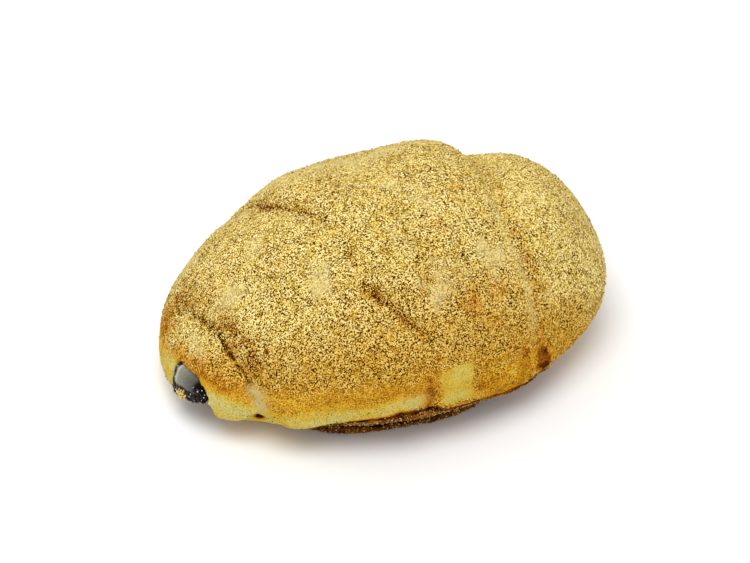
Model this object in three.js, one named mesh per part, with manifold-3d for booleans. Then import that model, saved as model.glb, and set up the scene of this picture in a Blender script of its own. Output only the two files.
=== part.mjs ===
// Rolled salt bread with its filling. Millimetres, +Z up.
// The roll lies along X with its open end at -X. Turn angles run round the roll in degrees:
// 0 is the far side (+Y), 90 the top, 180 the near side (-Y) and 270 the underside.
import * as THREE from 'three';
import { mergeVertices } from 'three/addons/utils/BufferGeometryUtils.js';
import Module from 'manifold-3d';

const wasm = await Module();
wasm.setup();

// Whole roll
const ROLL_LENGTH = 125;
const HALF_WIDTH = 43.5;
const ROLL_HEIGHT = 55.8;
const SHOULDER_HEIGHT = 17.8;
const BASE_CUT = 1.2;
const WIDEST_X = -4.9;
const CRESCENT_BEND = -3;
const TOP_SQUARENESS = 2.09;
const BELLY_SQUARENESS = 2.7;

// How each end draws in: end height above the base, and how blunt it is in plan, top and belly
const OPEN_END = { height: 9.8, power: 1.5, plan: 0.45, top: 0.51, belly: 0.5 };
const CLOSED_END = { height: 18, power: 2.19, plan: 0.43, top: 0.45, belly: 0.5 };
const END_RISE_POWER = 2.5;

// Mesh density
const AROUND = 60;
const TIP_ROWS = 12;
const LEFT_WRAP_ROWS = 22;
const OUTER_BAND_ROWS = 22;
const RIGHT_WRAP_ROWS = 16;
const RIGHT_TIP_ROWS = 11;

// Side tuck above the base lip
const TUCK_DEPTH = 2.2;
const TUCK_TURN = 206;
const TUCK_REACH = 17;
const TUCK_START_X = -52;
const TUCK_END_X = 22;
const TUCK_FADE = 14;

// Base lip: the browned edge of the bottom crust that shows under the near side
const LIP_START_X = -37;
const LIP_END_X = 22;
const LIP_EDGE_Y = -38;
const LIP_BOW = 0.0055;
const LIP_BOW_X = 4;
const LIP_WIDTH = 13;
const LIP_THICKNESS = 2.1;
const LIP_WEDGE = 5;
const LIP_LIFT = 0.15;
const LIP_WAVER = { depth: -0.7, wave: 5.7 };
const LIP_AROUND = 14;
const LIP_ROWS = 24;

// Navel where the rolled dough closes at the far end
const NAVEL_DEPTH = 1.8;
const NAVEL_RADIUS = 6;

// Filling channel
const MOUTH_X = -62;
const CHANNEL_SETTLED_X = -40;
const CHANNEL_END_X = 44;
const CHANNEL_OUTSIDE_X = -74;
const FILLING_GAP = 0.35;
const FILLING_END_GAP = 1;
const FILLING_BULGE = 0.4;
const CHANNEL_CAP = 6;
const CHANNEL_AROUND = 28;
const CHANNEL_ROWS = 30;

// The channel's mouth has an upright far side and a long near side under an arched rim, and settles
// into an oval inside. The opening cuts through the underside of the roll's end and is wider there,
// and the filling has its own underside, which sags on the far side.
const MOUTH = { y: -6.1, z: 8.6, farWidth: 1.2, nearWidth: 12.7, rise: 7.9, nearLift: 0.13 };
const INSIDE = { y: -0.5, z: 21, halfWidth: 13, rise: 8, drop: 7 };
const OPENING = {
  gap: 0,
  mouthDrop: 14,
  lowFarWidth: 5.8,
  lowNearWidth: 21,
  farSag: 0,
  endX: CHANNEL_END_X,
};
const FILLING = {
  gap: FILLING_GAP,
  mouthDrop: 0.9,
  lowFarWidth: 1.2,
  lowNearWidth: 12.7,
  farSag: 1.6,
  endX: CHANNEL_END_X - FILLING_END_GAP,
};
const FAR_SAG_REACH = 8;

// Gentle lumps all over the dough
const BROAD_LUMPS = { height: 0.45, wave: 9.5 };
const SMALL_LUMPS = { height: 0.22, wave: 4.7 };

// Creases fade out between these turn angles, where the roll sits on its base
const CREASE_FADE_NEAR = { from: 208, to: 236 };
const CREASE_FADE_FAR = { from: 302, to: 334 };

// How soon the relief reaches its full height away from the ends
const RELIEF_GROWTH = 1.6;

const { clamp, degToRad, lerp, smoothstep } = THREE.MathUtils;
const cosTurn = (turn) => Math.cos(degToRad(turn));
const sinTurn = (turn) => Math.sin(degToRad(turn));

// Soft rise and fall round one turn angle
function swell(turn, centre, reach) {
  const offset = THREE.MathUtils.euclideanModulo(turn - centre + 180, 360) - 180;
  return Math.exp(-((offset / reach) ** 2));
}

// Creases where one wrap of dough ends on the next. Each has its place along the roll and its depth
// at every turn angle. The wrap on the `over` side lies on top: its edge is rounded over `edge` mm,
// and the wrap below dips towards it over `reach` mm.
const CREASES = [
  // Edge of the wrap behind the open tip
  {
    place: (turn) => -53.8 - 7.6 * cosTurn(turn) - 1.5 * swell(turn, 138, 22),
    depth: (turn) => 1.7 + 1.4 * swell(turn, 128, 42) + 0.8 * swell(turn, 178, 14),
    over: 1,
    edge: 4,
    reach: 9,
  },
  // Left edge of the outermost wrap, which runs round the roll at a slant
  {
    place: (turn) => {
      const slant = -23.5 - 20 * cosTurn(turn) + 6 * sinTurn(turn);
      return slant + 4 * swell(turn, 46, 15) - 2.2 * swell(turn, 80, 22) - 9 * swell(turn, 126, 22);
    },
    depth: (turn) =>
      0.6 + 2.4 * swell(turn, 68, 24) + 1.8 * swell(turn, 142, 21) + 1.2 * swell(turn, 180, 15),
    over: 1,
    edge: 5,
    reach: 13,
  },
  // Right edge of the outermost wrap
  {
    place: (turn) => 28.4 + 1.2 * cosTurn(turn) - 1.8 * swell(turn, 118, 20) + 1.8 * swell(turn, 66, 20),
    depth: (turn) => 0.9 + 3 * swell(turn, 62, 32) + 0.7 * swell(turn, 150, 18),
    over: -1,
    edge: 5,
    reach: 19,
  },
  // Edge of the wrap next to the closed end, on the far side
  {
    place: (turn) => 49 - 4 * cosTurn(turn),
    depth: (turn) => 2.6 * swell(turn, -5, 36),
    over: -1,
    edge: 4,
    reach: 10,
  },
];

// Broad rises and hollows of the dough
const RISES = [
  { x: 19, turn: 72, reach: 13, spread: 32, height: 1.5 },
  { x: -4, turn: 66, reach: 17, spread: 24, height: -2.2 },
  { x: -20, turn: 62, reach: 10, spread: 22, height: 3 },
  { x: -32, turn: 56, reach: 5, spread: 15, height: -1.1 },
  { x: 36, turn: 64, reach: 7, spread: 28, height: -1.5 },
  { x: 58, turn: 122, reach: 7, spread: 28, height: -3 },
  { x: 55, turn: 166, reach: 6, spread: 16, height: 1.4 },
  { x: 29, turn: 192, reach: 7, spread: 20, height: 1.2 },
  { x: 41, turn: 190, reach: 6, spread: 18, height: -0.5 },
  { x: -52, turn: 214, reach: 8, spread: 22, height: -1 },
  { x: -44.8, turn: 206, reach: 2.8, spread: 16, height: -4.4 },
  { x: -38, turn: 196, reach: 5.5, spread: 14, height: 1.6 },
  { x: -58, turn: 40, reach: 6, spread: 26, height: 0.9 },
];

function creaseFade(turn) {
  const nearSide = 1 - smoothstep(turn, CREASE_FADE_NEAR.from, CREASE_FADE_NEAR.to);
  const farSide = smoothstep(turn, CREASE_FADE_FAR.from, CREASE_FADE_FAR.to);
  return turn > 270 ? farSide : nearSide;
}

function creaseProfile(crease, fromEdge) {
  const ahead = fromEdge * crease.over;
  if (ahead >= 0) {
    return (1 - Math.min(1, ahead / crease.edge)) ** 2;
  }
  return (1 - Math.min(1, -ahead / crease.reach)) ** 2;
}

// Height of the surface above or below the smooth roll, in mm
function surfaceRelief(x, turn) {
  let relief = 0;
  for (const crease of CREASES) {
    relief -= crease.depth(turn) * creaseFade(turn) * creaseProfile(crease, x - crease.place(turn));
  }
  const tuckStart = smoothstep(x, TUCK_START_X, TUCK_START_X + TUCK_FADE);
  const tuckEnd = 1 - smoothstep(x, TUCK_END_X - TUCK_FADE, TUCK_END_X);
  relief -= TUCK_DEPTH * tuckStart * tuckEnd * swell(turn, TUCK_TURN, TUCK_REACH);
  for (const rise of RISES) {
    const along = Math.exp(-(((x - rise.x) / rise.reach) ** 2));
    relief += rise.height * along * swell(turn, rise.turn, rise.spread);
  }
  const broadLumps = Math.sin(x / BROAD_LUMPS.wave + 1.1) * Math.sin(degToRad(2 * turn) + 0.5);
  const smallLumps = Math.sin(x / SMALL_LUMPS.wave + 0.4 + 3 * degToRad(turn));
  return relief + BROAD_LUMPS.height * broadLumps + SMALL_LUMPS.height * smallLumps;
}

// Smooth roll: how far it has drawn in at x, on a scale of 0 at the widest place to 1 at the end
function rollStation(x) {
  const end = x < WIDEST_X ? OPEN_END : CLOSED_END;
  const endX = x < WIDEST_X ? -ROLL_LENGTH / 2 : ROLL_LENGTH / 2;
  const drawn = clamp((x - WIDEST_X) / (endX - WIDEST_X), 0, 1);
  const left = Math.max(0, 1 - drawn ** end.power);
  return {
    halfWidth: HALF_WIDTH * left ** end.plan,
    rise: (ROLL_HEIGHT - SHOULDER_HEIGHT) * left ** end.top,
    drop: SHOULDER_HEIGHT * left ** end.belly,
    centreY: CRESCENT_BEND * (1 - (2 * x / ROLL_LENGTH) ** 2),
    centreZ: lerp(SHOULDER_HEIGHT, end.height, drawn ** END_RISE_POWER),
    fullness: left,
  };
}

function roundedPower(value, squareness) {
  return Math.sign(value) * Math.abs(value) ** (2 / squareness);
}

function skinPoint(x, turn) {
  const station = rollStation(x);
  const side = cosTurn(turn);
  const up = sinTurn(turn);
  const squareness = up > 0 ? TOP_SQUARENESS : BELLY_SQUARENESS;
  const halfHeight = up > 0 ? station.rise : station.drop;
  const outward = new THREE.Vector2(side * halfHeight, up * station.halfWidth).normalize();
  const relief = surfaceRelief(x, turn) * Math.min(1, RELIEF_GROWTH * Math.sqrt(station.fullness));
  const y = station.centreY + station.halfWidth * roundedPower(side, squareness) + relief * outward.x;
  const z = station.centreZ + halfHeight * roundedPower(up, squareness) + relief * outward.y - BASE_CUT;
  const navel = x > 0 ? NAVEL_DEPTH * Math.exp(-((station.halfWidth / NAVEL_RADIUS) ** 2)) : 0;
  return new THREE.Vector3(x - navel, y, Math.max(0, z));
}

// Rows of the skin follow the creases, so that every crease is a line of edges in the mesh
function evenToBothEnds(part) {
  return lerp(part, 0.5 - 0.5 * Math.cos(Math.PI * part), 0.6);
}

const openEnd = () => -ROLL_LENGTH / 2;
const closedEnd = () => ROLL_LENGTH / 2;
const [tipCrease, bandLeft, bandRight, endCrease] = CREASES.map((crease) => crease.place);
const BANDS = [
  { rows: TIP_ROWS, from: openEnd, to: tipCrease, spread: (part) => part ** 2 },
  { rows: LEFT_WRAP_ROWS, from: tipCrease, to: bandLeft, spread: evenToBothEnds },
  { rows: OUTER_BAND_ROWS, from: bandLeft, to: bandRight, spread: evenToBothEnds },
  { rows: RIGHT_WRAP_ROWS, from: bandRight, to: endCrease, spread: evenToBothEnds },
  { rows: RIGHT_TIP_ROWS, from: endCrease, to: closedEnd, spread: (part) => 1 - (1 - part) ** 2 },
];
const SKIN_ROWS = BANDS.reduce((total, band) => total + band.rows, 0);

function rowPlace(row, turn) {
  let first = 0;
  for (const band of BANDS) {
    if (row <= first + band.rows) {
      const part = band.spread((row - first) / band.rows);
      return lerp(band.from(turn), band.to(turn), part);
    }
    first += band.rows;
  }
  return closedEnd();
}

// A sphere whose rings are moved to wherever `place` puts them, row by row from pole to pole
function shapedSphere(around, rows, place) {
  const sphere = new THREE.SphereGeometry(1, around, rows);
  const position = sphere.getAttribute('position');
  const uv = sphere.getAttribute('uv');
  for (let index = 0; index < position.count; index += 1) {
    const row = Math.round(uv.getY(index) * rows);
    const isPole = row === 0 || row === rows;
    const turn = isPole ? 0 : 360 * (Math.round(uv.getX(index) * around) % around) / around;
    const point = place(row, turn);
    position.setXYZ(index, point.x, point.y, point.z);
  }
  sphere.deleteAttribute('uv');
  sphere.deleteAttribute('normal');
  return mergeVertices(sphere, 1e-4);
}

function toSolid(geometry) {
  const vertices = Float32Array.from(geometry.getAttribute('position').array);
  const triangles = Uint32Array.from(geometry.getIndex().array);
  return new wasm.Manifold(new wasm.Mesh({ numProp: 3, vertProperties: vertices, triVerts: triangles }));
}

function toGeometry(solid) {
  const mesh = solid.getMesh();
  const geometry = new THREE.BufferGeometry();
  geometry.setAttribute('position', new THREE.BufferAttribute(Float32Array.from(mesh.vertProperties), 3));
  geometry.setIndex(new THREE.BufferAttribute(Uint32Array.from(mesh.triVerts), 1));
  return geometry;
}

// Outer form of the roll
const skin = shapedSphere(AROUND, SKIN_ROWS, (row, turn) => skinPoint(rowPlace(row, turn), turn));

// Base lip along the near side
function lipPoint(part, turn) {
  const x = lerp(LIP_START_X, LIP_END_X, part);
  const taper = Math.sqrt(Math.sin(Math.PI * clamp(part, 0, 1)));
  const waver = LIP_WAVER.depth * Math.sin(x / LIP_WAVER.wave);
  const edge = LIP_EDGE_Y + LIP_BOW * (x - LIP_BOW_X) ** 2 + waver;
  const halfWidth = taper * LIP_WIDTH / 2;
  const y = edge + LIP_WIDTH / 2 + halfWidth * cosTurn(turn);
  const inward = 0.5 + 0.5 * cosTurn(turn);
  const wedge = LIP_WEDGE * taper * inward * Math.max(0, sinTurn(turn));
  const z = LIP_LIFT + LIP_THICKNESS * (0.5 + 0.5 * taper * sinTurn(turn)) + wedge;
  return new THREE.Vector3(x, y, z);
}
const lip = shapedSphere(LIP_AROUND, LIP_ROWS, (row, turn) => lipPoint(row / LIP_ROWS, turn));

// Channel that holds the filling
function channelPoint(x, turn, form, fullness) {
  const settled = smoothstep(x, MOUTH_X, CHANNEL_SETTLED_X);
  const above = Math.max(0, sinTurn(turn));
  const below = Math.max(0, -sinTurn(turn));
  const farWidth = lerp(MOUTH.farWidth, form.lowFarWidth, smoothstep(below, 0, 0.4));
  const nearWidth = lerp(MOUTH.nearWidth, form.lowNearWidth, below);
  const mouthWidth = cosTurn(turn) > 0 ? farWidth : nearWidth;
  const halfWidth = lerp(mouthWidth, INSIDE.halfWidth, settled) - form.gap;
  const rise = lerp(MOUTH.rise, INSIDE.rise, settled) - form.gap;
  const drop = lerp(form.mouthDrop, INSIDE.drop, settled) - form.gap;
  const across = fullness * halfWidth * cosTurn(turn);
  const nearLift = lerp(MOUTH.nearLift, 0, settled) * Math.max(0, -across);
  const farSag = lerp(form.farSag, 0, settled) * below * Math.max(0, 1 + across / FAR_SAG_REACH);
  const y = lerp(MOUTH.y, INSIDE.y, settled) + across;
  const z = lerp(MOUTH.z, INSIDE.z, settled) + fullness * (rise * above - drop * below) + nearLift - farSag;
  return new THREE.Vector3(x, y, z);
}

function channelForm(form) {
  return shapedSphere(CHANNEL_AROUND, CHANNEL_ROWS, (row, turn) => {
    const x = lerp(CHANNEL_OUTSIDE_X, CHANNEL_END_X, 0.5 - 0.5 * Math.cos(Math.PI * row / CHANNEL_ROWS));
    const fromCap = Math.min(1, (x - CHANNEL_OUTSIDE_X) / CHANNEL_CAP, (CHANNEL_END_X - x) / CHANNEL_CAP);
    const fullness = Math.sqrt(Math.max(0, 1 - (1 - fromCap) ** 2));
    return channelPoint(Math.min(x, form.endX), turn, form, fullness);
  });
}

// The filling ends level with the end of the roll, a little proud of it
const skinSolid = toSolid(skin);
const breadGeometry = toGeometry(skinSolid.add(toSolid(lip)).subtract(toSolid(channelForm(OPENING))));
const fillingTrim = skinSolid.translate([-FILLING_BULGE, 0, 0]);
const fillingGeometry = toGeometry(toSolid(channelForm(FILLING)).intersect(fillingTrim));

// Stand the roll with the middle of its box over the origin
const box = new THREE.Box3().setFromBufferAttribute(breadGeometry.getAttribute('position'));
box.union(new THREE.Box3().setFromBufferAttribute(fillingGeometry.getAttribute('position')));
const middle = box.getCenter(new THREE.Vector3());

function node(name, geometry, colour, roughness) {
  geometry.translate(-middle.x, -middle.y, -box.min.z);
  geometry.computeVertexNormals();
  const material = new THREE.MeshStandardMaterial({ color: colour, roughness, metalness: 0 });
  const mesh = new THREE.Mesh(geometry, material);
  mesh.name = name;
  return mesh;
}

const group = new THREE.Group();
group.name = 'salt_bread_roll';
group.add(node('bread', breadGeometry, 0xd2a850, 0.9));
group.add(node('filling', fillingGeometry, 0x2a2522, 0.3));

export default group;
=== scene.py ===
"""Looks of a filled salt bread roll that is dusted with grainy yellow powder. Metres, +Z up."""
import math

import bpy
import numpy as np
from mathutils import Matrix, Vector, noise


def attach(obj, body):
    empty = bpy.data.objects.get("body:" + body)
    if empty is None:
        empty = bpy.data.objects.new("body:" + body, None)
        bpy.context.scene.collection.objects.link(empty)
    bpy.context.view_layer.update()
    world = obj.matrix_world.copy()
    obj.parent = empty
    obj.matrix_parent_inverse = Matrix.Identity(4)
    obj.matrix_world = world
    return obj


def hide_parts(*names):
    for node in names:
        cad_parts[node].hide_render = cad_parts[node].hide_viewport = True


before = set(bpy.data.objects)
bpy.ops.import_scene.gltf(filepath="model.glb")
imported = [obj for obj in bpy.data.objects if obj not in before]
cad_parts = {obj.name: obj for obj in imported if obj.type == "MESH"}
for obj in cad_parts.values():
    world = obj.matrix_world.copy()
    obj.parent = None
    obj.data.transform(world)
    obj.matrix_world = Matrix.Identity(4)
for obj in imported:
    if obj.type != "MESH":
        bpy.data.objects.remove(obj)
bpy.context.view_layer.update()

MM = 0.001
RANDOM_SEED = 7

# Form of the roll in millimetres, in its own frame: X along the roll, turn angles round it
ROLL_LENGTH = 125.0
HALF_WIDTH = 43.5
ROLL_HEIGHT = 55.8
SHOULDER_HEIGHT = 17.8
BASE_CUT = 1.2
WIDEST_X = -4.9
CRESCENT_BEND = -3.0
TOP_SQUARENESS = 2.09
BELLY_SQUARENESS = 2.7
OPEN_END = {"height": 9.8, "power": 1.5, "plan": 0.45, "top": 0.51, "belly": 0.5}
CLOSED_END = {"height": 18.0, "power": 2.19, "plan": 0.43, "top": 0.45, "belly": 0.5}
END_RISE_POWER = 2.5
DRAWN_LIMIT = 0.9999
ROLL_MIDDLE = (0.47, 2.75, 0.0)

# Sides of the roll: turn angles in degrees, and the y over which near turns into far, in mm
NEAR_TURN = 180
NEAR_REACH = 60
UNDERSIDE_TURN = 270
FAR_SIDE_Y = (-10.0, 10.0)

# Creases between the wraps, in mm. Waves are turn, reach and size; over is the side of the upper wrap. The
# line is painted shade in the crease, and the flank is browned crust with painted shade below the wrap's
# edge
CREASES = {
    "tip": {
        "x": -53.8,
        "slant": -7.6,
        "twist": 0.0,
        "waves": [(138, 22, -1.5)],
        "over": 1,
        "line": 0.4,
        "line_waves": [(125, 40, 0.5)],
        "shaded_flank": 0.12,
        "flank_waves": [(131, 20, 0.82), (70, 22, 0.5)],
        "flank_middle": 2.7,
        "flank_reach": 2.4,
    },
    "outer_left": {
        "x": -23.5,
        "slant": -20.0,
        "twist": 6.0,
        "waves": [(46, 15, 4.0), (80, 22, -2.2), (126, 22, -9.0)],
        "over": 1,
        "line": 0.15,
        "line_waves": [(64, 24, 0.4), (140, 18, 0.15), (-5, 36, 0.2)],
        "shaded_flank": 0.1,
        "flank_waves": [(66, 22, 0.55), (135, 14, 0.7), (-5, 36, 0.25)],
        "flank_middle": 0.2,
        "flank_reach": 1.5,
    },
    "outer_right": {
        "x": 28.4,
        "slant": 1.2,
        "twist": 0.0,
        "waves": [(118, 20, -1.8), (66, 20, 1.8)],
        "over": -1,
        "line": 0.0,
        "line_waves": [(-5, 36, 0.3)],
        "shaded_flank": 0.15,
        "flank_waves": [(135, 25, 0.3), (60, 25, 0.35)],
        "flank_middle": -1.8,
        "flank_reach": 1.7,
    },
    "end": {
        "x": 49.0,
        "slant": -4.0,
        "twist": 0.0,
        "waves": [],
        "over": -1,
        "line": 0.0,
        "line_waves": [(-5, 36, 0.5)],
        "shaded_flank": 0.0,
        "flank_waves": [(-5, 36, 0.6)],
        "flank_middle": 1.0,
        "flank_reach": 1.6,
    },
}
CREASE_FADE_NEAR = (208, 236)
CREASE_FADE_FAR = (302, 334)
CREASE_LINE_REACH = 0.5

# Depths of the fine relief in mm
SWELL_HEIGHT = 0.2
BUMP_HEIGHT = 0.12
GRIT_HEIGHT = 0.16
CREASE_DEPTH = 0.35
PIT_DEPTH = 0.2

# Fineness of the meshes
CRUST_VOXEL = 0.68 * MM
FILLING_VOXEL = 0.4 * MM
CRUST_SMOOTHING = 2
FILLING_SMOOTHING = 4
MERGE_DISTANCE = 1e-6

# Sizes of the soft noise over the crust, and how streaks are drawn out along each axis
WIDE_CLOUD = 14 * MM
MEDIUM_CLOUD = 5 * MM
SMALL_CLOUD = 2 * MM
STREAK_SIZE = 2.5 * MM
STREAK_STRETCH = (0.2, 0.6, 1.0)
GRIT_SIZE = 1.4 * MM
CLUMP_SIZE = 2.4 * MM

# Lower edge of the powder: heights above the base in mm
POWDER_EDGE_OPEN_END = 19.5
POWDER_EDGE_FAR_DROP = 5.0
POWDER_EDGE_CLOSED_END = 6.0
POWDER_EDGE_MIDDLE = 27.0
FAR_DROP_Y = (-6.0, 4.0)
FAR_DROP_MIDDLE = 1.5
POWDER_FADE_END = 2.5
POWDER_FADE_MIDDLE = 6.0

# Thick pale powder at the top, and golden crust below the powder's edge, in mm
THICK_REACH_END = 1.0
THICK_REACH_MIDDLE = 29.0
END_THICKNESS = 0.45
END_THICK_X = (36.0, 50.0)
GOLDEN_DEPTH_END = 2.5
GOLDEN_DEPTH_MIDDLE = 9.0
GOLDEN_DIP = 3.5
GOLDEN_DIP_X = -43.0
GOLDEN_DIP_REACH = 5.0
GOLDEN_SLOPE = 0.08
GOLDEN_SLOPE_X = -27.0
GOLDEN_SLOPE_SPAN = (-8.0, 20.0)
FAR_RIM_X = (-58.0, -54.0)
FAR_RIM_Y = (-8.0, -2.0)
# Right end, where the pores are coarser and the grains are lightened with painted light
COARSE_X = (18.0, 42.0)

# Painted sheen along the far shoulder and round the closed end, a painted highlight on the right ridge, and
# smooth dust in clouds, in mm and degrees
SHOULDER_SHEEN_TURNS = (44.0, 57.0)
SHOULDER_SHEEN_TURN_X = (-42.0, -15.0)
SHOULDER_SHEEN_START_X = (-58.0, -52.0)
SHOULDER_SHEEN_END_X = (30.0, 45.0)
SHOULDER_SHEEN_REACH = 13
END_SHEEN_X = 58.0
END_SHEEN_REACH = 4.0
END_SHEEN_TURNS = (60, 165)
END_SHEEN_SOFT = 12
RIDGE_INSET = 1.4
RIDGE_REACH = 1.5
RIDGE_TURNS = (100, 168)
RIDGE_SOFT = 8
DUST_CLOUD_X = (25.0, 40.0)
DUST_CLOUD_LEFT = 0.45
DUST_CLOUD_RIGHT = 0.15

# How browned each part of the crust is, from 0 for pale dough to 1 for the darkest crust
BROWNING = {
    "pale_dough": 0.07,
    "right_dough": 0.5,
    "golden": 0.48,
    "rust": 0.78,
    "brown_side": 0.58,
    "pale_spots": 0.3,
    "dark_side": 0.78,
    "pale_patch": 0.16,
    # the skirt's tone also holds painted shade under the belly
    "browned_shaded_skirt": 0.79,
    "inside": 0.04,
    "lip": 0.83,
}

# Share of the powder that each bare part of the crust loses
BARE_SHARES = {
    "rust": 0.7,
    "pale_patch": 1.0,
    "inside": 1.0,
    "pit_shade": 1.0,
    "brown_side": 0.85,
    "dark_side": 0.9,
    "browned_shaded_skirt": 0.7,
}

# Pale strip along the foot: where it ends on either side, how soft that end is and its heights, in mm
STRIP_END_NEAR = -7.0
STRIP_END_FAR = 7.0
STRIP_EDGE_CLEAR = 1.4
STRIP_EDGE_VAGUE = 16.0
STRIP_VAGUE_Z = (7.0, 13.0)
STRIP_FOOT_Z = (3.0, 6.0)

# Browned skirt of the bottom crust below that strip, with painted shade under the belly, in mm and degrees
SKIRT_START_X = -33.5
SKIRT_END_X = 36.0
SKIRT_TAPER = 8.0
SKIRT_TOP = 12.2
SKIRT_CREST = 3.8
SKIRT_CREST_X = -11.0
SKIRT_CREST_REACH = 11.0
SKIRT_TURNS = (150, 262)
SKIRT_SOFT = 8
FOLD_DEPTH = 1.3
FOLD_REACH = 1.0

# Browned lip at the foot of the near side, and the painted shade of the crevice above it, in mm and degrees
LIP_START_X = -37.0
LIP_END_X = 22.0
LIP_TOP_Z = (3.5, 5.5)
LIP_TURNS = (195, 250)
LIP_END_SOFT = 2.0
LIP_TURN_SOFT = 4
LIP_EDGE = (0.0, 0.3)
CREVICE_EDGE = (0.45, 0.85)

# Patches on the bare crust of the near side, in mm
PALE_PATCH_X = (-2.6, 6.2)
PALE_PATCH_Z = (14.2, 26.0)
BROWN_SIDE_X = (7.5, 24.0)
BROWN_SIDE_Z = (8.0, 21.0)
DARK_PATCH_X = 28.0
DARK_PATCH_Z = 17.8
DARK_PATCH_REACH_X = 3.4
DARK_PATCH_REACH_Z = 5.6
DARK_PATCH_SLANT = 0.25
RIGHT_DOUGH_REACH = 9.0
END_DOUGH_X = (36.0, 48.0)

# Crust round the open end and along the foot, in mm and degrees
BAKED_FOOT_Z = (1.5, 8.0)
FRONT_FOOT_X = -40.0
FRONT_FOOT_REACH = 9.0
FRONT_FOOT_Z = (18.0, 24.0)
OPEN_RIM_X = (-50.0, -45.0)
OPEN_RIM_Y = (-9.0, -2.0)
OPEN_RIM_HEIGHTS = (-3.5, 1.0)
RIM_FLUSH_X = (-55.0, -51.0)
RIM_FLUSH_REACH = 1.9
MOUTH_X = -50.0
MOUTH_TOP_Z = 17.5
MOUTH_Y = (-21.0, -2.0)
MOUTH_SOFT = 1.0
MOUTH_SKIN = (0.7, 1.6)
FLOURY_INSET = 0.3
FLOURY_REACH = 1.5
FLOURY_TURNS = (160, 179)
FLOURY_SOFT = 5

# Rolled-up dough at the closed end, in mm
SPIRAL_PITCH = 5.5
SPIRAL_RADIUS = 15.0
SPIRAL_FADE_RADIUS = 0.7 * SPIRAL_RADIUS
SPIRAL_EYE = (1.0, 3.5)
SPIRAL_GROOVE = 0.7
SPIRAL_START_X = 40.0
SPIRAL_POLE_Z = CLOSED_END["height"] - BASE_CUT

# Marks on the crust, as x in mm, turn in degrees, reach in mm, reach in degrees and strength
SMOOTH_SMEARS = [
    (-18.8, 62, 7, 9, 0.9),
    (-47.0, 102, 4.5, 9, 0.8),
    (-26.5, 117, 3.2, 10, 1.0),
    (-45.2, 38, 6, 8, 0.6),
    (-12.5, 57, 9, 6, 0.7),
    (-36.5, 87, 4, 9, 0.6),
    (7.0, 101, 4, 7, 0.6),
    (-0.6, 136, 3, 6, 0.7),
    (2.2, 87, 4, 5, 0.5),
    (17.7, 127, 3.5, 9, 0.8),
    (35.4, 106, 4, 8, 0.5),
    (-0.6, 70, 12, 5, 0.5),
    (-56.0, 116, 2.0, 12, 0.9),
]
BROWN_MARKS = [
    (9.6, 144, 3.0, 7, 0.8),
    (17.7, 142, 3.5, 4, 0.55),
    (13.0, 153, 4.0, 4, 0.55),
    (17.3, 97, 2.3, 1.4, 0.8),
    (-13.9, 132, 2.4, 4, 0.35),
    (7.3, 112, 2.5, 4, 0.4),
    (-58.6, 58, 2.8, 20, 0.85),
    (-59.6, 112, 1.0, 22, 0.6),
    (22.2, 172, 1.8, 4, 0.9),
    (26.5, 167, 1.2, 2.5, 0.8),
    (-5.4, 174, 2.4, 10, 1.0),
]
PALE_SPOTS = [
    (14.5, 173, 2.4, 4, 1.0),
    (18.0, 179, 2.6, 4, 1.0),
]
FLOUR_AND_HIGHLIGHT_MARKS = [
    (-56.0, 174, 1.6, 7, 0.6),
    # the second mark is a painted highlight at the right end of the pale strip
    (-10.0, 177, 3.0, 2.5, 0.45),
]
# Pits: small holes, painted dark for the shade in them
PITS = [
    (-45.2, 204, 1.4, 10.0, 1.0),
    (-42.7, 140, 0.55, 1.4, 1.0),
]

# Grains, pores and patches in the crust's colour
GRAIN_SIZE = 0.36 * MM
GRAIN_WOBBLE = 0.26 * MM
GRAIN_DENT = -0.3 * MM
PORE_SIZE = 0.37 * MM
COARSE_PORE_SIZE = 0.43 * MM
PATCH_SIZE = 2.2 * MM
CONTRAST_SIZE = 3.2 * MM
MOTTLE_SIZE = 3.0 * MM
SMEAR_EDGE_SIZE = 1.2 * MM
MATT_ROUGHNESS = 0.9
NO_GLOSS = 0.0
SMEAR_AND_SHEEN_COLOUR = (206, 186, 124)
FLOUR_COLOUR = (200, 186, 122)
FLUSH_TINT = (0.86, 0.64, 0.5, 1.0)

# Smooth part of the filling, seen from the open end, where the filling's reflection is painted grey: y
# limits and the sloping lower limit, in mm
LENS_NEAR_Y = -14.0
LENS_FAR_Y = -6.9
LENS_LOW_Z = 11.5
LENS_SLOPE = 0.18
LENS_HEIGHT = 0.25
LENS_EDGE_INSET = 0.5
LENS_EDGE_REACH = 0.45
REFLECTION_NEAR_COLOUR = (84, 85, 78)
REFLECTION_FAR_COLOUR = (149, 148, 131)
REFLECTION_MOTTLE_COLOUR = (74, 74, 68)
LENS_RIM_HIGHLIGHT_COLOUR = (182, 179, 158)

# Lumps and grains of the filling
LUMP_SIZE = 1.0 * MM
SMALL_LUMP_SIZE = 0.6 * MM
LUMP_HEIGHT = 0.32
FILLING_GRAIN_SIZE = 0.38 * MM
FILLING_GRAIN_WOBBLE = 0.25 * MM
FILLING_MOTTLE_SIZE = 0.5 * MM
FILLING_ROUGHNESS = 0.22
FILLING_GLOSS = 0.06

# Clump of powder on the filling, in mm
CLUMP_X_LIMIT = -55.0
CLUMP_Y = -9.8
CLUMP_Z = 9.4
CLUMP_REACH_Y = 1.5
CLUMP_REACH_Z = 1.1

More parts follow.
